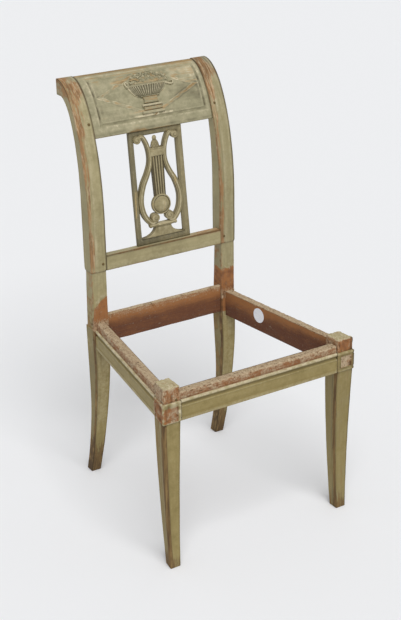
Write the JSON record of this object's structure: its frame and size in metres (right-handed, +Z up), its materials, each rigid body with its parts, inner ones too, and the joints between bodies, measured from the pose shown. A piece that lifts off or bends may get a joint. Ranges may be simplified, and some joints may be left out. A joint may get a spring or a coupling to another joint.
{
  "type": "side chair",
  "caption": "Painted wooden side-chair frame without its seat, with a lyre splat, a rolled crest carved with a basket, tapered front legs and sabre rear legs.",
  "frame": {"origin": "on the floor, under the middle of the chair's bounding box", "axes": "+Z up, +Y from the front of the chair towards its back, +X to the right as seen from the front"},
  "size_m": [0.46, 0.498, 0.904],
  "materials": {
    "painted_wood": "worn sage-green paint on wood, matt to satin",
    "bare_wood": "bare aged wood, matt",
    "peg_wood": "dark end grain, matt",
    "label_paper": "blank white paper, matt"
  },
  "bodies": {
    "root": {"rear_post_left": "painted_wood", "rear_post_right": "painted_wood", "front_leg_left": "painted_wood", "front_leg_right": "painted_wood", "front_seat_rail": "painted_wood", "side_seat_rail_left": "painted_wood", "side_seat_rail_right": "painted_wood", "rear_seat_rail": "bare_wood", "cross_rail": "painted_wood", "crest_rail": "painted_wood", "splat_frame": "painted_wood", "lyre": "painted_wood", "paper_label": "label_paper", "front_rail_peg_left": "peg_wood", "front_rail_peg_right": "peg_wood", "side_rail_front_peg_left": "peg_wood", "side_rail_front_peg_right": "peg_wood", "side_rail_rear_peg_left": "peg_wood", "side_rail_rear_peg_right": "peg_wood", "rear_rail_peg_left": "peg_wood", "rear_rail_peg_right": "peg_wood", "cross_rail_peg_left": "peg_wood", "cross_rail_peg_right": "peg_wood", "crest_peg_left": "peg_wood", "crest_peg_right": "peg_wood"}
  },
  "joints": []
}
